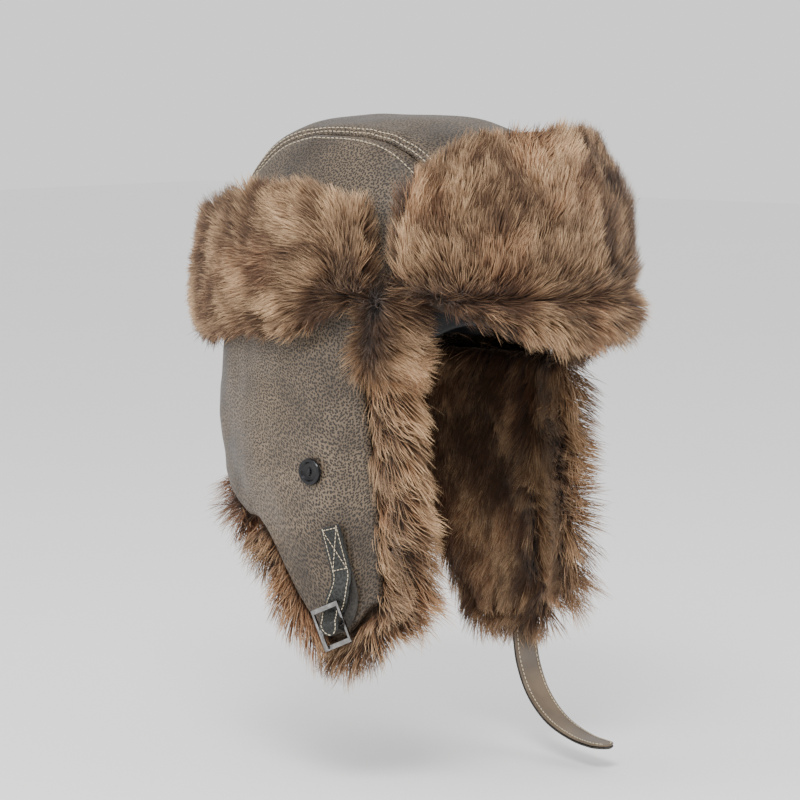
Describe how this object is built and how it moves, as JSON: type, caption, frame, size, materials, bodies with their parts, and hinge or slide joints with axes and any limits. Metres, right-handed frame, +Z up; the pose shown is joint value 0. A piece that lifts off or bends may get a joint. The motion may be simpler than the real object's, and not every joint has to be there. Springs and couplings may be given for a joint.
{
  "type": "trapper hat",
  "caption": "Fur-trimmed leather trapper hat with a turned-up visor and cuff, hinged ear flaps, a neck flap, a buckle strap and a chin strap.",
  "frame": {"origin": "centre of the head opening, level with the seam where the ear flaps join the crown", "axes": "+Z up through the crown, -Y the way the wearer faces, -X the wearer's right side"},
  "size_m": [0.2286, 0.2897, 0.3915],
  "materials": {
    "leather": "distressed pebbled leather, satin",
    "strap_leather": "smooth dark leather, edge stitched",
    "fur": "long-pile faux fur, tan to dark brown",
    "backing": "plain woven backing, matt",
    "satin": "black satin, soft sheen",
    "wadding": "white polyester wadding",
    "button": "polished black",
    "thread": "twisted black thread",
    "nickel": "brushed gunmetal nickel"
  },
  "bodies": {
    "crown": {"crown_panel_centre": "leather", "crown_panel_right": "leather", "crown_panel_left": "leather", "crown_wadding": "wadding", "crown_lining": "satin", "sweatband": "satin", "cuff_backing": "backing", "cuff_fur": "fur", "neck_leather": "leather", "neck_wadding": "wadding", "neck_fur": "fur", "neck_fur_roll": "fur", "right_temple_fur": "fur", "left_temple_fur": "fur"},
    "front_visor": {"visor_backing": "backing", "visor_wadding": "wadding", "visor_fur": "fur"},
    "right_ear_flap": {"right_ear_leather": "leather", "right_ear_wadding": "wadding", "right_ear_fur": "fur", "right_ear_fur_roll": "fur", "right_button": "button", "right_button_thread": "thread", "buckle_strap_anchor": "strap_leather"},
    "left_ear_flap": {"left_ear_leather": "leather", "left_ear_wadding": "wadding", "left_ear_fur": "fur", "left_ear_fur_roll": "fur", "left_button": "button", "left_button_thread": "thread", "chin_strap_root": "strap_leather"},
    "buckle_strap": {"buckle_strap_front": "strap_leather", "buckle_strap_back": "strap_leather"},
    "buckle": {"buckle_frame": "nickel"},
    "prong": {"buckle_prong": "nickel"},
    "chin_strap": {"chin_strap_face": "leather", "chin_strap_back": "strap_leather"}
  },
  "joints": [
    {"name": "visor_fold", "type": "hinge", "parent": "crown", "child": "front_visor", "pos_m": [0, -0.124, 0.008], "axis": [1, 0, 0], "range_deg": [0, 100]},
    {"name": "right_ear_fold", "type": "hinge", "parent": "crown", "child": "right_ear_flap", "pos_m": [-0.104, 0, -0.002], "axis": [0, 1, 0], "range_deg": [0, 145]},
    {"name": "left_ear_fold", "type": "hinge", "parent": "crown", "child": "left_ear_flap", "pos_m": [0.104, 0, -0.002], "axis": [0, -1, 0], "range_deg": [0, 145]},
    {"name": "buckle_strap_swing", "type": "hinge", "parent": "right_ear_flap", "child": "buckle_strap", "pos_m": [-0.09704, -0.03566, -0.1295], "axis": [-0.1746, 0.9846, 0], "range_deg": [0, 30]},
    {"name": "buckle_turn", "type": "hinge", "parent": "buckle_strap", "child": "buckle", "pos_m": [-0.10334, -0.03222, -0.16041], "axis": [0.1595, -0.8995, 0.4067], "range_deg": [-3, 25]},
    {"name": "prong_turn", "type": "hinge", "parent": "buckle", "child": "prong", "pos_m": [-0.10446, -0.02592, -0.16326], "axis": [-0.1595, 0.8995, -0.4067], "range_deg": [0, 85]},
    {"name": "chin_strap_swing", "type": "hinge", "parent": "left_ear_flap", "child": "chin_strap", "pos_m": [0.08769, -0.02542, -0.191], "axis": [-0.9563, 0.2924, 0], "range_deg": [-70, 50]}
  ]
}
